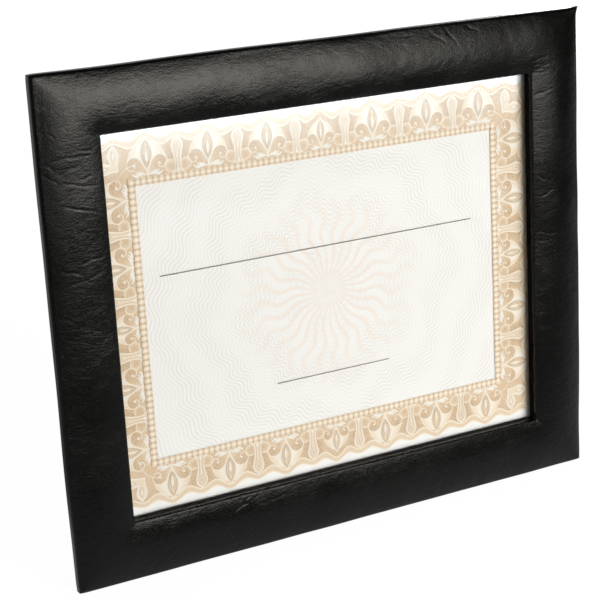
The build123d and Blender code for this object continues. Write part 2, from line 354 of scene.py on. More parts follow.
def mix(tree, factor, a, b):
    """Colour between a and b."""
    node = add(tree, "Mix", {"data_type": "RGBA"}, i0=factor)
    for slot, value in ((6, a), (7, b)):
        if isinstance(value, bpy.types.NodeSocket):
            tree.links.new(value, node.inputs[slot])
        else:
            node.inputs[slot].default_value = (*value, 1)
    return node.outputs[2]


def span(tree, value, low, high, out_low, out_high):
    """Value carried from one range to another, held at its ends."""
    node = add(tree, "MapRange", None, i0=value, i1=low, i2=high, i3=out_low, i4=out_high)
    return node.outputs[0]


def new_finish(name):
    """New material with its node tree and its surface shader."""
    finish = bpy.data.materials.new(name)
    finish.use_nodes = True
    return finish, finish.node_tree, finish.node_tree.nodes["Principled BSDF"]


def set_finish(tree, shader, colour, roughness, bump=None, strength=0.3, distance=0.0003):
    """Colour and roughness, each as a value or a link, and relief from a height where one is given."""
    for name, value in (("Base Color", colour), ("Roughness", roughness)):
        if isinstance(value, bpy.types.NodeSocket):
            tree.links.new(value, shader.inputs[name])
        else:
            shader.inputs[name].default_value = (*value, 1) if name == "Base Color" else value
    if bump is not None:
        node = add(tree, "Bump", None, Strength=strength, Distance=distance, Height=bump)
        tree.links.new(node.outputs[0], shader.inputs["Normal"])


# Valley lines of the leatherette: noise scale, width, weight, and the cloud's range over which they fade in
VALLEYS = (210.0, 0.05, 0.62, 0.42, 0.60), (80.0, 0.022, 0.8, 0.50, 0.62)


def leatherette(name, tone, gloss, depth, shine=0.20):
    """Pressed grain on black coated cloth: cells about 1 mm wide, short level strokes, and two sizes of thin
    valley lines that run mostly level and come in patches."""
    finish, tree, shader = new_finish(name)
    place = add(tree, "TexCoord").outputs["Object"]
    drift = add(tree, "TexNoise", None, Vector=place, Scale=420.0, Detail=2.0)
    bent = add(tree, "Mix", {"data_type": "VECTOR"}, i0=0.0016, i4=place, i5=drift.outputs["Color"])
    cells = add(tree, "TexVoronoi", {"feature": "DISTANCE_TO_EDGE"}, Vector=bent.outputs[1], Scale=800.0)
    cells = span(tree, cells.outputs[0], 0.0, 0.30, 0.0, 1.0)
    level = add(tree, "Mapping", None, Vector=place, Scale=(0.40, 1.0, 1.0)).outputs[0]
    cloud = add(tree, "TexNoise", None, Vector=place, Scale=30.0, Detail=3.0).outputs[0]
    strokes = add(tree, "TexNoise", None, Vector=level, Scale=620.0, Detail=2.0, Distortion=0.6).outputs[0]
    grain = math_node(tree, "ADD", math_node(tree, "MULTIPLY", cells, 0.5),
                      math_node(tree, "MULTIPLY", strokes, 1.6))
    for size, width, weight, low, high in VALLEYS:
        field = add(tree, "TexNoise", None, Vector=level, Scale=size, Detail=3.0, Roughness=0.55,
                    Distortion=1.1).outputs[0]
        valley = math_node(tree, "ABSOLUTE", math_node(tree, "SUBTRACT", field, 0.5))
        valley = span(tree, valley, 0.0, width, -1.0, 0.0)
        share = math_node(tree, "MULTIPLY", span(tree, cloud, low, high, 0.10, 1.0), weight)
        grain = math_node(tree, "ADD", grain, math_node(tree, "MULTIPLY", valley, share))
    colour = mix(tree, cloud, [c * 0.75 for c in tone], [c * 1.3 for c in tone])
    rough = math_node(tree, "ADD", span(tree, cloud, 0.3, 0.7, gloss - 0.04, gloss + 0.05),
                      math_node(tree, "MULTIPLY", cells, -0.06))
    set_finish(tree, shader, colour, rough, grain, depth, 0.00016)
    shader.inputs["Specular IOR Level"].default_value = shine
    return finish


def board_finish(name, tone):
    """Board or card in one tone: short fibres and flecks."""
    finish, tree, shader = new_finish(name)
    place = add(tree, "TexCoord").outputs["Object"]
    fibre = add(tree, "TexNoise", None, Vector=place, Scale=900.0, Detail=4.0, Distortion=1.5).outputs[0]
    fleck = add(tree, "TexVoronoi", None, Vector=place, Scale=700.0).outputs[0]
    shade = math_node(tree, "ADD", math_node(tree, "MULTIPLY", fibre, 0.7),
                      math_node(tree, "MULTIPLY", fleck, 0.4))
    colour = mix(tree, shade, [c * 0.72 for c in tone], [c * 1.12 for c in tone])
    set_finish(tree, shader, colour, span(tree, fibre, 0.3, 0.7, 0.75, 0.95), fibre, 0.25, 0.0002)
    return finish


def steel_finish(name):
    """Plated steel with fine brush lines along the leaf."""
    finish, tree, shader = new_finish(name)
    place = add(tree, "TexCoord").outputs["Object"]
    drawn = add(tree, "Mapping", None, Vector=place, Scale=(6000.0, 260.0, 260.0)).outputs[0]
    line = add(tree, "TexNoise", None, Vector=drawn, Scale=1.0, Detail=3.0).outputs[0]
    cloud = add(tree, "TexNoise", None, Vector=place, Scale=160.0, Detail=3.0).outputs[0]
    colour = mix(tree, cloud, (0.52, 0.50, 0.46), (0.74, 0.72, 0.67))
    shader.inputs["Metallic"].default_value = 1.0
    set_finish(tree, shader, colour, span(tree, line, 0.3, 0.7, 0.24, 0.42), line, 0.12, 0.0001)
    return finish


def clear_finish(name):
    """Clear sheet: see-through, with a gloss that grows with the fifth power of one minus the cosine of the
    viewing angle, the same on both faces."""
    finish, tree, shader = new_finish(name)
    tree.nodes.remove(shader)
    place = add(tree, "TexCoord").outputs["Object"]
    haze = add(tree, "TexNoise", None, Vector=place, Scale=14.0, Detail=2.0).outputs[0]
    gloss = add(tree, "BsdfGlossy", None, Color=(0.93, 0.965, 1, 1),
                Roughness=span(tree, haze, 0.3, 0.7, 0.06, 0.09))
    through = add(tree, "BsdfTransparent", None, Color=(0.985, 0.985, 0.98, 1))
    facing = add(tree, "LayerWeight", None, Blend=0.5).outputs["Facing"]
    edge = math_node(tree, "MULTIPLY_ADD", math_node(tree, "POWER", facing, 5.0), 0.9, 0.035)
    both = add(tree, "MixShader", None, i0=edge, i1=through.outputs[0], i2=gloss.outputs[0])
    tree.links.new(both.outputs[0], tree.nodes["Material Output"].inputs["Surface"])
    return finish


def on_sheet(tree):
    """Place on the certificate in mm from the print's centre: x right, y up, z out of the sheet."""
    place = add(tree, "TexCoord").outputs["Object"]
    s0 = (PRINT_S + FOOT_Y * math.sin(LEAN)) * 0.001
    turned = add(tree, "Mapping", None, Vector=place, Rotation=(LEAN - math.pi / 2, 0, 0),
                 Location=(-PRINT_X * 0.001, -s0, 0))
    return add(tree, "VectorMath", {"operation": "SCALE"}, i0=turned.outputs[0], Scale=1000.0).outputs[0]


# Paper, and the rosette of its field: pitch and swing in mm, waves in one turn, and the rays' reach in mm
PAPER_LOW, PAPER_HIGH = (0.905, 0.887, 0.857), (0.935, 0.917, 0.892)
RING_PITCH, RING_WAVES, RING_SWING, RING_TINT = 2.2, 32.0, 1.7, (0.77, 0.74, 0.685)
BUNDLE_PITCH, BUNDLE_WAVES, BUNDLE_SWING = 24.0, 8.0, 5.0
RAY_COUNT, RAY_BEND, RAY_IN, RAY_OUT, RAY_TINT = 28.0, 15.0, (12.0, 24.0), (38.0, 64.0), (0.89, 0.78, 0.69)
FRONT_SKIN = 0.05


def paper_finish(name):
    """Ivory sheet with fine fibre. On its front, inside the bead row, a pale rosette: wavy rings about the
    centre that come in bundles, and a ring of faint bent rays."""
    finish, tree, shader = new_finish(name)
    place = on_sheet(tree)
    axes = add(tree, "SeparateXYZ", None, Vector=place)
    x, y, level = axes.outputs[0], axes.outputs[1], axes.outputs[2]
    turn = math_node(tree, "ARCTAN2", y, x)
    reach = add(tree, "VectorMath", {"operation": "LENGTH"}, i0=place).outputs["Value"]

    def wave(rate, bend, pull):
        """Sine of the turn taken rate times, moved on by pull times another value."""
        moved = math_node(tree, "MULTIPLY", bend, pull)
        return math_node(tree, "SINE", math_node(tree, "MULTIPLY_ADD", turn, rate, moved))

    def ring(value, pitch):
        return math_node(tree, "SINE", math_node(tree, "MULTIPLY", value, 2 * math.pi / pitch))

    in_width = math_node(tree, "LESS_THAN", math_node(tree, "ABSOLUTE", x), BEAD_HALF_W)
    in_height = math_node(tree, "LESS_THAN", math_node(tree, "ABSOLUTE", y), BEAD_HALF_H)
    front_level = PAPER_FACE - FRONT_SKIN - FOOT_H - FOOT_Y * math.cos(LEAN)
    on_front = math_node(tree, "GREATER_THAN", level, front_level)
    inside = math_node(tree, "MULTIPLY", math_node(tree, "MULTIPLY", in_width, in_height), on_front)
    petal = math_node(tree, "MULTIPLY_ADD", wave(RING_WAVES, reach, 0.08), RING_SWING, reach)
    bundle = math_node(tree, "MULTIPLY_ADD", wave(BUNDLE_WAVES, reach, 0.05), BUNDLE_SWING, reach)
    lines = math_node(tree, "MULTIPLY", span(tree, ring(petal, RING_PITCH), -0.1, 0.9, 0.0, 1.0),
                      span(tree, ring(bundle, BUNDLE_PITCH), -0.7, 0.6, 0.4, 1.0))
    ray_band = math_node(tree, "MULTIPLY", span(tree, reach, *RAY_IN, 0.0, 1.0),
                         span(tree, reach, *RAY_OUT, 1.0, 0.0))
    rays = span(tree, wave(RAY_COUNT, ring(reach, RAY_BEND), 1.5), 0.0, 0.9, 0.0, 1.0)
    rays = math_node(tree, "MULTIPLY", rays, ray_band)
    fibre = add(tree, "TexNoise", None, Vector=place, Scale=1.4, Detail=4.0).outputs[0]
    base = mix(tree, fibre, PAPER_LOW, PAPER_HIGH)
    field = mix(tree, math_node(tree, "MULTIPLY", lines, 0.62), base, RING_TINT)
    field = mix(tree, math_node(tree, "MULTIPLY", rays, 0.72), field, RAY_TINT)
    colour = mix(tree, inside, base, field)
    set_finish(tree, shader, colour, span(tree, fibre, 0.3, 0.7, 0.62, 0.74), fibre, 0.05, 0.0001)
    shader.inputs["Specular IOR Level"].default_value = 0.25
    return finish


def ink_finish(name, wash):
    """Printed colour from the piece's own point colour, a little uneven as ink on paper is."""
    finish, tree, shader = new_finish(name)
    ink = add(tree, "Attribute", {"attribute_name": "ink"}).outputs["Color"]
    speck = add(tree, "TexNoise", None, Vector=on_sheet(tree), Scale=1.1, Detail=3.0).outputs[0]
    colour = mix(tree, span(tree, speck, 0.35, 0.75, 0.0, wash), ink, (0.90, 0.86, 0.78))
    set_finish(tree, shader, colour, span(tree, speck, 0.3, 0.7, 0.58, 0.70))
    shader.inputs["Specular IOR Level"].default_value = 0.25
    return finish


# Printed border, drawn in row coordinates: a along the row, b outwards from the bead row
CENTRE_HALF, PITCH_W, PITCH_H = 14.5, 33.5, 34.0
CENTRE_SCALE = 0.74, 0.84
INK_GROUND, INK_DEEP = (0.71, 0.515, 0.315), (0.59, 0.405, 0.228)
INK_SCROLL, INK_PALE = (0.65, 0.455, 0.267), (0.82, 0.665, 0.475)
INK_LINE, INK_WHITE = (0.90, 0.775, 0.61), (0.92, 0.88, 0.81)
INK_SHADE, INK_RULE = (0.50, 0.385, 0.285), (0.055, 0.05, 0.05)


def curve(points, n=40):
    """Smooth line through points: Catmull-Rom spline, evaluated at n even steps."""
    p = np.asarray(points, float)
    p = np.vstack((2 * p[0] - p[1], p, 2 * p[-1] - p[-2]))
    t = np.linspace(0, len(p) - 3 - 1e-9, n)
    i = t.astype(int)
    f = (t - i)[:, None]
    p0, p1, p2, p3 = p[i], p[i + 1], p[i + 2], p[i + 3]
    return 0.5 * (2 * p1 + (p2 - p0) * f + (2 * p0 - 5 * p1 + 4 * p2 - p3) * f ** 2
                  + (3 * p1 - p0 - 3 * p2 + p3) * f ** 3)


def ribbon(line, width):
    """Flat strip along a line, of one width or of a width for each point."""
    way = np.gradient(line, axis=0)
    side = np.column_stack((-way[:, 1], way[:, 0])) / np.maximum(np.hypot(*way.T), 1e-9)[:, None]
    half = side * np.broadcast_to(width, len(line))[:, None] / 2
    return np.stack((line - half, line + half), 1)


def between(left, right, steps=2):
    """Filled patch from one line to another."""
    f = np.linspace(0, 1, steps)[None, :, None]
    return left[:, None] * (1 - f) + right[:, None] * f


def same(line):
    return line


def mirror(line):
    return line * (-1, 1)


class Print:
    """Patches of one printed layer, gathered row by row and made one flat mesh just above the paper."""

    lift = 0.02

    def __init__(self, name):
        self.name = name
        self.points, self.faces, self.inks, self.count = [], [], [], 0

    def lay(self, patch, inks, places, along=False):
        """Add a patch at each place (2x2 turn, offset); ink runs from the first colour to the last across the
        patch, or along it."""
        rows, cols = patch.shape[:2]
        ramp = np.linspace(0, len(inks) - 1, rows if along else cols)
        tone = np.stack([np.interp(ramp, range(len(inks)), [k[c] for k in inks]) for c in range(3)], -1)
        tone = np.column_stack((tone, np.ones(len(tone))))
        tone = np.broadcast_to(tone[:, None] if along else tone[None], (rows, cols, 4)).reshape(-1, 4)
        quads = grid_quads(rows, cols)
        Print.lift += 0.005
        for turn, offset in places:
            flat = patch.reshape(-1, 2) @ np.asarray(turn).T + offset
            self.points.append(np.column_stack((flat, np.full(len(flat), Print.lift))))
            one, two, three, four = (flat[quads[:, k]] for k in range(4))
            area = np.cross(three - one, four - two)
            whole = quads[np.abs(area) > 1e-6]
            self.faces.append((whole if area.sum() > 0 else whole[:, ::-1]) + self.count)
            self.inks.append(tone)
            self.count += len(flat)

    def done(self, finish):
        flat = np.vstack(self.points)
        points = stand(flat[:, 0] + PRINT_X, flat[:, 1] + PRINT_S, PAPER_FACE + flat[:, 2])
        return make_piece(self.name, points, np.vstack(self.faces).tolist(), finish, "certificate_sheet",
                          np.vstack(self.inks), smooth=False)


def side_places(rows_w, rows_h, scale=(1, 1)):
    """Turn and offset of each unit on the four sides, from its place along the long and the upright rows."""
    base_w, base_h = BEAD_HALF_H + BEAD_BAND, BEAD_HALF_W + BEAD_BAND
    m, n = scale
    places = []
    for sign in (1, -1):
        places += [(((sign * m, 0), (0, sign * n)), (sign * a, sign * base_w)) for a in rows_w]
        places += [(((0, sign * n), (-sign * m, 0)), (sign * base_h, -sign * a)) for a in rows_h]
    return places


def both_ways(steps, pitch):
    """Places to both sides of a row's small middle unit, at that many pitches from its ends."""
    out = CENTRE_HALF + pitch * np.asarray(steps)
    return np.concatenate((-out[::-1], out))


palmettes = side_places(both_ways((0.5, 1.5, 2.5), PITCH_W), both_ways((0.5, 1.5), PITCH_H))
palmettes += side_places((0.0,), (0.0,), CENTRE_SCALE)
spoons = side_places(both_ways((0, 1, 2), PITCH_W), both_ways((0, 1), PITCH_H))
corners = [(((px, 0), (0, py)), (px * BEAD_HALF_W, py * BEAD_HALF_H)) for px in (1, -1) for py in (1, -1)]
swapped = [(((0, px), (py, 0)), (px * BEAD_HALF_W, py * BEAD_HALF_H)) for px in (1, -1) for py in (1, -1)]
rows = [(BEAD_HALF_W, PITCH_W, place) for place in side_places((0.0,), ())]
rows += [(BEAD_HALF_H, PITCH_H, place) for place in side_places((), (0.0,))]


def scallop(a, pitch, level, ripple_two, ripple_one):
    """Distance of a scalloped line from the bead row: two cosines of the unit's phase, furthest out at each
    palmette and next at each spoon; the middle unit is shorter."""
    out = np.abs(a)
    phase = np.where(out < CENTRE_HALF, np.pi * out / CENTRE_HALF,
                     np.pi + 2 * np.pi * (out - CENTRE_HALF) / pitch)
    return level + ripple_two * np.cos(2 * phase) + ripple_one * np.cos(phase)


def inner_edge(a, pitch):
    return scallop(a, pitch, level=17.2, ripple_two=1.95, ripple_one=0.75)


def outer_edge(a, pitch):
    return scallop(a, pitch, level=20.9, ripple_two=1.3, ripple_one=0.7)


def print_ground():
    """Tan ground of each row from the bead row to the scallops, mitred at its ends, the scalloped strip
    outside it, and a cream line between the two."""
    layer = Print("border_ground")
    for half, pitch, place in rows:
        reach = half + BEAD_BAND + 17.5
        a = np.linspace(-reach, reach, 420)
        start = np.maximum(np.abs(a) - half - BEAD_BAND, 0)
        inner = np.column_stack((a, np.maximum(inner_edge(a, pitch), start)))
        foot = np.column_stack((a, start))
        layer.lay(between(foot, inner, 5), (INK_GROUND, INK_GROUND, INK_SCROLL), [place])
        outer = np.column_stack((a, np.maximum(outer_edge(a, pitch), start)))
        inks = INK_LINE, INK_PALE, INK_PALE, INK_GROUND, INK_PALE, INK_GROUND, INK_PALE, INK_LINE, INK_WHITE
        layer.lay(between(inner, outer, 17), inks, [place])
        layer.lay(ribbon(inner, 0.42), (INK_LINE, INK_WHITE), [place])
    return layer


# Curves of one border unit, each through its points; a shape with an axis is mirrored about it
LEAF = [(0, 3.4), (1.5, 5.6), (2.9, 8.2), (3.8, 11.4), (3.6, 13.8), (2.3, 17.0), (0, 20.0)]
LEAF_IN = [(0, 5.4), (1.5, 7.6), (2.4, 10.6), (2.4, 13.2), (1.3, 16.2), (0, 17.8)]
DROP = [(0, 6.8), (0.75, 8.6), (0.95, 10.8), (0.7, 12.6), (0, 14.0)]
SHIELD = [(10.3, 9.2), (9.2, 12.4), (7.4, 14.6), (5.2, 16.4), (2.6, 18.2)]
SHIELD_IN = [(3.2, 8.8), (3.8, 11.4), (3.6, 13.8), (2.9, 15.8), (1.6, 18.0)]
VOLUTE = [(0.5, 2.2), (1.7, 5.8), (3.0, 8.2), (4.5, 9.8), (6.9, 10.6), (9.6, 9.6), (10.9, 7.3),
          (10.2, 5.0), (8.5, 3.9), (6.9, 4.3), (6.2, 5.7), (6.9, 6.7), (7.6, 6.1)]
VOLUTE_IN = [(0.7, 0.9), (3.2, 2.4), (5.4, 3.6), (6.8, 4.4), (6.9, 5.5), (7.2, 6.3), (7.5, 6.1),
             (7.7, 5.4), (8.4, 4.0)]
FLAMES = ([(0.9, 0.8), (2.2, 1.7), (3.9, 2.4), (5.8, 3.6)], [(2.6, 0.5), (3.9, 1.3), (5.2, 1.8), (6.9, 3.2)],
          [(4.6, 0.3), (5.8, 0.9), (7.0, 1.3), (8.6, 2.6)])
DART = [(3.4, 0.15), (2.2, 1.3), (1.7, 3.8), (1.9, 7.5), (2.6, 11.0), (3.15, 13.6), (2.3, 16.2), (0, 17.9)]
DART_IN = [(1.4, 1.2), (0.9, 4.0), (1.0, 8.0), (1.6, 11.2), (2.0, 13.5), (1.4, 15.4), (0, 16.5)]
DART_DROP = [(0, 10.8), (0.7, 12.4), (1.05, 13.6), (0.65, 14.8), (0, 15.7)]
LOBE = [(2.2, 1.2), (3.6, 0.9), (6.0, 1.6), (7.3, 3.9), (6.2, 6.3), (4.2, 7.0), (2.2, 6.4)]
HOOK_OUT = [(6.6, 6.4), (6.6, 9.5), (6.1, 12.0), (5.7, 14.6), (6.6, 17.0), (8.6, 19.2)]
HOOK_IN = [(10.3, 10.1), (10.6, 12.0), (11.5, 14.6), (10.6, 17.0), (8.6, 19.2)]
HOOK_DROP = [(0, 11.3), (0.6, 13.0), (0.95, 14.4), (0.5, 15.9), (0, 16.8)]
HOOK_AXIS = 8.6
SWEEP = [(-3.4, 9.2), (1.6, 7.6), (5.2, 5.2), (7.6, 1.6), (9.2, -3.4)]
BESIDE_NEAR = [(1.7, 5.5), (2.2, 9), (3.3, 13.0), (3.0, 15.6)]
BESIDE_FAR = [(6.4, 5.2), (6.6, 8.8), (7.6, 12.2), (9.2, 14.8)]
FOOT = [(0.2, 0.2), (1.2, 1.7), (0.8, 3.4), (0, 5.2)]
WEDGE = [(0, 3.1), (0.5, 1.9), (1.0, 0.8)]
LOBE_HEART, EYE, EYE_R = (3.4, 3.6), (7.0, 6.3), 0.6
OUTLINES = (
    # curve, width of its cream line, units that have it
    (LOBE, 0.32, spoons), (SHIELD, 0.34, palmettes), (VOLUTE, 0.46, palmettes),
    (LEAF, 0.6, palmettes), (DART, 0.55, spoons),
)
DROPS = (
    # curve, its axis, units that have it
    (DROP, 0, palmettes), (DART_DROP, 0, spoons), (HOOK_DROP, HOOK_AXIS, corners),
    (HOOK_DROP, HOOK_AXIS, swapped),
)


def print_shapes():
    """Filled shapes: dark ground beside the spoons, lobes, pale shields, scrolls, leaves, spoons and corner
    hooks."""
    layer = Print("border_shapes")
    near, far = curve(BESIDE_NEAR), curve(BESIDE_FAR)
    lobe = curve(LOBE)
    heart = np.zeros_like(lobe) + LOBE_HEART
    shield, shield_in = curve(SHIELD), curve(SHIELD_IN)
    scroll, scroll_in = curve(VOLUTE[:9], 60), curve(VOLUTE_IN, 60)
    for flip in (same, mirror):
        layer.lay(between(flip(near), flip(far), 4), (INK_DEEP, INK_DEEP, INK_SCROLL, INK_GROUND), spoons)
        layer.lay(between(flip(heart), flip(lobe), 4), (INK_SCROLL, INK_GROUND, INK_PALE), spoons)
        layer.lay(between(flip(shield_in), flip(shield), 5), (INK_WHITE, INK_LINE, INK_PALE), palmettes)
        inks = INK_PALE, INK_GROUND, INK_SCROLL, INK_DEEP, INK_SCROLL, INK_GROUND
        layer.lay(between(flip(scroll), flip(scroll_in), 5), inks, palmettes, along=True)
    leaf, dart = curve(LEAF), curve(DART)
    inks = INK_WHITE, INK_PALE, INK_GROUND, INK_PALE, INK_GROUND, INK_PALE, INK_WHITE
    layer.lay(between(mirror(leaf), leaf, 7), inks, palmettes)
    inks = INK_PALE, INK_LINE, INK_PALE, INK_LINE, INK_PALE, INK_LINE, INK_PALE
    layer.lay(between(mirror(dart), dart, 7), inks, spoons)
    for places in (corners, swapped):
        layer.lay(between(curve(HOOK_OUT), curve(HOOK_IN), 7), inks, places)
    return layer


def print_lines():
    """Cream outlines of lobes, shields, scrolls, leaves, spoons and hooks, the flames at each palmette's
    foot, and the sweep round each corner."""
    layer = Print("border_lines")
    taper = 1.2 * np.sin(np.linspace(0.12, np.pi - 0.05, 14)) ** 0.8
    for flip in (same, mirror):
        for shape, width, places in OUTLINES:
            layer.lay(ribbon(flip(curve(shape, 64)), width), (INK_LINE, INK_WHITE), places)
        for flame in FLAMES:
            layer.lay(ribbon(flip(curve(flame, 14)), taper), (INK_WHITE, INK_WHITE), palmettes)
    for places in (corners, swapped):
        for shape in (HOOK_OUT, HOOK_IN):
            layer.lay(ribbon(curve(shape), 0.55), (INK_WHITE, INK_WHITE), places)
    layer.lay(ribbon(curve(SWEEP), 0.36), (INK_LINE, INK_WHITE), corners)
    return layer


def print_details():
    """Fine marks: inner leaf and spoon lines, drops, scroll eyes and pale feet."""
    layer = Print("border_details")
    ring = np.linspace(0, 2 * np.pi, 9)
    eye = np.column_stack((np.cos(ring), np.sin(ring))) * EYE_R + EYE
    pupil = np.zeros_like(eye) + EYE
    for flip in (same, mirror):
        layer.lay(ribbon(flip(curve(LEAF_IN, 24)), 0.40), (INK_SHADE, INK_SHADE), palmettes)
        layer.lay(ribbon(flip(curve(DART_IN, 24)), 0.24), (INK_SHADE, INK_GROUND), spoons)
        layer.lay(between(flip(pupil), flip(eye)), (INK_WHITE, INK_WHITE), palmettes)
    for shape, axis, places in DROPS:
        half = curve(shape, 16)
        layer.lay(between(mirror(half), half, 5) + (axis, 0), (INK_WHITE, INK_LINE, INK_WHITE), places)
        for flip in (same, mirror):
            layer.lay(ribbon(flip(half), 0.26) + (axis, 0), (INK_SHADE, INK_GROUND), places)
    heart = curve(DART_DROP, 16) * (0.42, 0.5) + (0, 6.9)
    layer.lay(between(mirror(heart), heart), (INK_DEEP, INK_DEEP), spoons)
    wedge = np.array(WEDGE)
    layer.lay(between(mirror(wedge), wedge), (INK_WHITE, INK_WHITE), spoons)
    foot = curve(FOOT, 16)
    layer.lay(between(mirror(foot), foot, 5), (INK_PALE, INK_LINE, INK_WHITE, INK_LINE, INK_PALE), palmettes)
    return layer


BEADS_LONG, BEADS_UPRIGHT, BEAD_R, BEAD_SHINE_R = 67, 47, 1.5, 0.9
DOT_R, DOT_OUT = 0.72, 1.3


def print_beads():
    """Bead row: a tan band round the field, pale beads at an even pitch, and dark dots between them."""
    band = Print("bead_band")
    beads = Print("bead_row")
    for half_a, half_b, upright in ((BEAD_HALF_W, BEAD_HALF_H, False), (BEAD_HALF_H, BEAD_HALF_W, True)):
        ends = np.array((-1.0, 1.0)) * (half_a + (BEAD_BAND if not upright else -BEAD_BAND))
        strip = np.stack(np.meshgrid(ends, np.linspace(-BEAD_BAND, BEAD_BAND, 3), indexing="ij"), -1)
        for sign in (1, -1):
            turn = ((0, sign), (-sign, 0)) if upright else ((sign, 0), (0, sign))
            offset = (sign * half_b, 0) if upright else (0, sign * half_b)
            band.lay(strip, (INK_PALE, INK_GROUND, INK_LINE), [(turn, offset)])
    even_w = np.linspace(-BEAD_HALF_W, BEAD_HALF_W, BEADS_LONG)
    even_h = np.linspace(-BEAD_HALF_H, BEAD_HALF_H, BEADS_UPRIGHT)
    still = ((1, 0), (0, 1))
    spots = [(still, (a, sign * BEAD_HALF_H)) for a in even_w for sign in (1, -1)]
    spots += [(still, (sign * BEAD_HALF_W, a)) for a in even_h[1:-1] for sign in (1, -1)]
    dots = [(still, (a, sign * (BEAD_HALF_H + side))) for a in (even_w[1:] + even_w[:-1]) / 2
            for sign in (1, -1) for side in (-DOT_OUT, DOT_OUT)]
    dots += [(still, (sign * (BEAD_HALF_W + side), a)) for a in (even_h[1:] + even_h[:-1]) / 2
             for sign in (1, -1) for side in (-DOT_OUT, DOT_OUT)]
    ring = np.linspace(0, 2 * np.pi, 13)
    disc = np.column_stack((np.cos(ring), np.sin(ring)))
    dot = np.stack([disc[::2] * r for r in (0.0, DOT_R)], 1)
    bead = np.stack([disc * r for r in (0.0, BEAD_SHINE_R, BEAD_R)], 1)
    beads.lay(dot, (INK_SHADE, INK_SCROLL), dots)
    beads.lay(bead, (INK_WHITE, INK_LINE, INK_GROUND), spots)
    return band, beads


# Plain rules of the form: x of both ends, s, width
RULES = (-98.2, 89.0, 157.2, 0.5), (-36.0, 33.3, 86.9, 0.42)


def print_rules():
    """The two plain rules of the form, one above the other."""
    layer = Print("form_rules")
    for x0, x1, s, width in RULES:
        line = np.column_stack((np.linspace(x0, x1, 30) - PRINT_X, np.full(30, s - PRINT_S)))
        layer.lay(ribbon(line, width), (INK_RULE, INK_RULE), [(((1, 0), (0, 1)), (0, 0))])
    return layer


# Object
black = leatherette("black_leatherette", tone=(0.002, 0.002, 0.0018), gloss=0.30, depth=0.5)
black_rear = leatherette("black_rear_leatherette", tone=(0.009, 0.009, 0.009), gloss=0.40, depth=0.45,
                         shine=0.42)
black_liner = leatherette("black_liner", tone=(0.003, 0.003, 0.003), gloss=0.55, depth=0.2, shine=0.04)
ink = ink_finish("border_ink", wash=0.35)

pad = padded_front(black)
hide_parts("leatherette_cover", "foam_pad")
wrap = rear_wrap(black_rear)
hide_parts("rear_cover")
easel = strut_wrap(black_rear)
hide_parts("strut_cover")

layers = [print_ground(), print_shapes(), print_lines(), print_details(), *print_beads(), print_rules()]
for layer in layers:
    layer.done(ink)

board = board_finish("grey_board", (0.30, 0.27, 0.22))
node_finishes = {
    "certificate": paper_finish("certificate_paper_ivory"),
    "glazing": clear_finish("clear_sheet_gloss"),
    "rear_lining": board_finish("lining_card_black", (0.045, 0.043, 0.041)),
}
steel = steel_finish("plated_steel")
for name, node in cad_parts.items():
    if name in node_finishes:
        use = node_finishes[name]
    elif name.startswith("window_liner"):
        use = black_liner
    elif name.startswith("hinge"):
        use = steel
    else:
        use = board
    for slot in node.material_slots:
        slot.material = use
    if not node.material_slots:
        node.data.materials.append(use)


# Studio, in metres
WALL_OUT, WALL_BEND, WALL_TOP, FLOOR_TURNS = 7.0, 2.0, 5.0, 96
FLOOR_DROP, FLOOR_WHITE = 0.0002, 0.96
WARM = 1.0, 0.975, 0.89
REFLECTORS = (
    # name, place, the point it faces, width and height, power
    ("wide_reflector", (0.09, -0.40, 0.405), (0.09, 0.0, 0.405), (0.54, 0.39), 3.05),
    ("inner_reflector", (0.08, -0.39, 0.38), (0.08, 0.0, 0.38), (0.34, 0.20), 1.25),
    ("left_reflector", (-0.26, -0.40, 0.25), (-0.16, 0.0, 0.20), (0.18, 0.24), 0.16),
)


def floor_finish():
    """Pale floor that keeps the shadow and is white to the camera. In reflections its glow depends on depth
    alone: dark out in front, brighter up to the object, dim close behind it, bright further back."""
    finish, tree, shader = new_finish("pale_floor")
    set_finish(tree, shader, (0.12, 0.12, 0.12), 0.9)
    shader.inputs["Specular IOR Level"].default_value = 0.1
    path = add(tree, "LightPath")
    seen = math_node(tree, "ADD", path.outputs["Is Camera Ray"], path.outputs["Is Transmission Ray"],
                     clamp=True)
    depth = add(tree, "SeparateXYZ", None, Vector=add(tree, "TexCoord").outputs["Object"]).outputs[1]
    front = span(tree, depth, -0.42, -0.14, 0.02, 0.62)
    behind = math_node(tree, "MAXIMUM", span(tree, depth, 0.0, 0.06, 1.0, 0.3),
                       span(tree, depth, 0.10, 0.45, 0.3, 1.0))
    mirrored = math_node(tree, "MULTIPLY", path.outputs["Is Glossy Ray"],
                         math_node(tree, "MULTIPLY", front, behind))
    glow = math_node(tree, "ADD", math_node(tree, "MULTIPLY", seen, FLOOR_WHITE), mirrored)
    glow = add(tree, "Emission", None, Strength=glow)
    both = add(tree, "AddShader", None, i0=shader.outputs[0], i1=glow.outputs[0])
    tree.links.new(both.outputs[0], tree.nodes["Material Output"].inputs["Surface"])
    return finish


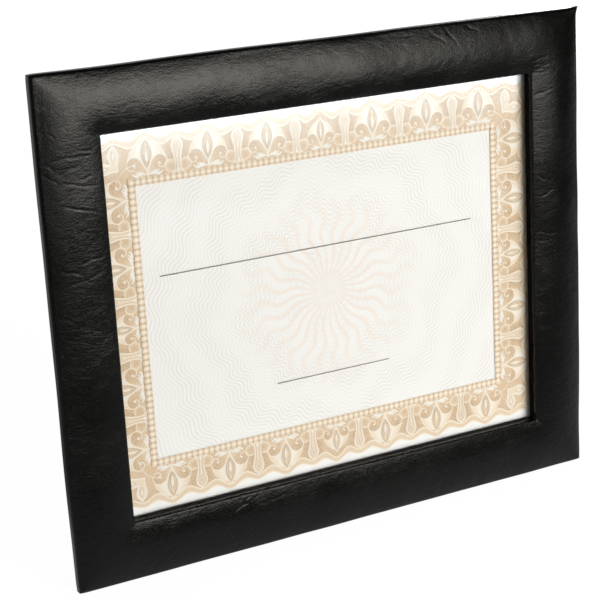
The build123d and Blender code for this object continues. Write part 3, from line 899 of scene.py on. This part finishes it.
def studio_floor():
    """Floor and wall in one turned profile: flat out to the wall, a wide round corner, then upright."""
    bend = np.linspace(0, np.pi / 2, 12)
    flat = np.array([0.02, 0.5, 1.5, 4.0])
    out = np.concatenate((flat, WALL_OUT + WALL_BEND * np.sin(bend), [WALL_OUT + WALL_BEND]))
    up = np.concatenate((0 * flat, WALL_BEND - WALL_BEND * np.cos(bend), [WALL_TOP])) - FLOOR_DROP
    turn = np.linspace(0, 2 * np.pi, FLOOR_TURNS, endpoint=False)
    x, y = np.outer(np.cos(turn), out), np.outer(np.sin(turn), out)
    points = np.stack((x, y, np.broadcast_to(up, x.shape)), -1)
    faces = grid_quads(*x.shape, close_rows=True)[:, ::-1].tolist()
    faces.append([i * len(out) for i in range(FLOOR_TURNS)])
    mesh = bpy.data.meshes.new("studio_floor")
    mesh.from_pydata(points.reshape(-1, 3).tolist(), [], faces)
    mesh.materials.append(floor_finish())
    floor = bpy.data.objects.new("studio_floor", mesh)
    bpy.context.scene.collection.objects.link(floor)


def placement(right, up, back, place):
    """Matrix of a lamp or a camera from its three axes and its place."""
    matrix = np.eye(4)
    matrix[:3, :3] = np.column_stack((right, up, back))
    matrix[:3, 3] = place
    return Matrix(matrix.tolist())


def soft_light(name, place, aim, size, power, glossy=True, diffuse=True, tint=(1, 1, 1)):
    """Large soft lamp facing a point; it can be left out of reflections, or only show in them."""
    lamp = bpy.data.lights.new(name, "AREA")
    lamp.shape, lamp.energy, lamp.color = "RECTANGLE", power, tint
    lamp.size, lamp.size_y = size
    obj = bpy.data.objects.new(name, lamp)
    obj.visible_camera, obj.visible_glossy, obj.visible_diffuse = False, glossy, diffuse
    back = np.array(place) - np.array(aim)
    back = back / np.linalg.norm(back)
    right = np.cross((0, 0, 1), back)
    right = right / np.linalg.norm(right)
    obj.matrix_world = placement(right, np.cross(back, right), back, place)
    bpy.context.scene.collection.objects.link(obj)
    return obj


def link_lamps(lamps, pieces, state):
    """Let these lamps light some pieces alone (INCLUDE), or everything but those pieces (EXCLUDE)."""
    group = bpy.data.collections.new(state.lower() + "_" + pieces[0].name)
    for piece in pieces:
        group.objects.link(piece)
    for member in group.collection_objects:
        member.light_linking.link_state = state
    for lamp in lamps:
        lamp.light_linking.receiver_collection = group


def glare_strip(sheet):
    """Narrow lamp that shows only in the clear sheet, as the veil of light along the window's upper edge: its
    light is linear in height, up from the lower edge and down again to the upper one."""
    lamp = soft_light("glare_strip", (0.282, -0.518, 0.228), (0.03, 0.025, 0.229), (0.56, 0.11), 0.085,
                      diffuse=False, tint=(0.75, 0.90, 1.0))
    lamp.data.spread = math.radians(44)
    lamp.data.use_nodes = True
    tree = lamp.data.node_tree
    level = add(tree, "SeparateXYZ", None, Vector=add(tree, "NewGeometry").outputs["Position"]).outputs[2]
    light = math_node(tree, "MULTIPLY", span(tree, level, 0.180, 0.224, 0.0, 1.0),
                      span(tree, level, 0.236, 0.28, 1.0, 0.0))
    tree.links.new(light, tree.nodes["Emission"].inputs["Strength"])
    link_lamps((lamp,), (sheet,), "INCLUDE")


def studio_light():
    """Front key and low fill that leave no mirror image, warm reflectors that only mirror and stay off the
    clear sheet, the sheet's own glare, a rear lamp that stays off the steel hinge, and a dim world."""
    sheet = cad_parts["glazing"]
    hinge = [node for name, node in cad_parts.items() if name.startswith("hinge")]
    soft_light("key_softbox", (1.3, -2.6, 0.15), (0.0, 0.0, 0.12), (1.8, 1.8), 177.0, glossy=False)
    soft_light("low_fill", (0.04, -0.25, 0.08), (0.0, -0.02, 0.05), (0.30, 0.06), 0.06, glossy=False)
    reflectors = [soft_light(*row, diffuse=False, tint=WARM) for row in REFLECTORS]
    link_lamps(reflectors, (sheet,), "EXCLUDE")
    glare_strip(sheet)
    rear = soft_light("rear_softbox", (1.3, 0.9, 0.35), (0.0, 0.05, 0.12), (1.0, 0.9), 26.0)
    link_lamps((rear,), hinge, "EXCLUDE")
    world = bpy.data.worlds.new("studio_world")
    bpy.context.scene.world = world
    world.use_nodes = True
    world.node_tree.nodes["Background"].inputs["Color"].default_value = (0.97, 0.98, 1.0, 1)
    world.node_tree.nodes["Background"].inputs["Strength"].default_value = 0.05


def photo_camera(azimuth, elevation, roll, distance, slide, rise, lens):
    """Camera on a sphere round the panel's middle, turned by the roll and moved in its own plane."""
    a, e, r = (math.radians(k) for k in (azimuth, elevation, roll))
    back = np.array((math.sin(a) * math.cos(e), -math.cos(a) * math.cos(e), math.sin(e)))
    level = np.array((math.cos(a), math.sin(a), 0))
    upright = np.cross(back, level)
    right = level * math.cos(r) + upright * math.sin(r)
    up = upright * math.cos(r) - level * math.sin(r)
    middle = stand(0.0, FRAME_H / 2, 0.0)
    data = bpy.data.cameras.new("photo_camera")
    data.sensor_fit, data.sensor_width, data.sensor_height, data.lens = "HORIZONTAL", 36.0, 36.0, lens
    obj = bpy.data.objects.new("photo_camera", data)
    obj.matrix_world = placement(right, up, back, middle + back * distance + right * slide + up * rise)
    bpy.context.scene.collection.objects.link(obj)
    bpy.context.scene.camera = obj


studio_floor()
studio_light()
bpy.context.scene.view_settings.view_transform = "Standard"
photo_camera(azimuth=-29.08, elevation=24.97, roll=1.79, distance=0.89148, slide=-0.01544, rise=-0.00730,
             lens=99.84)
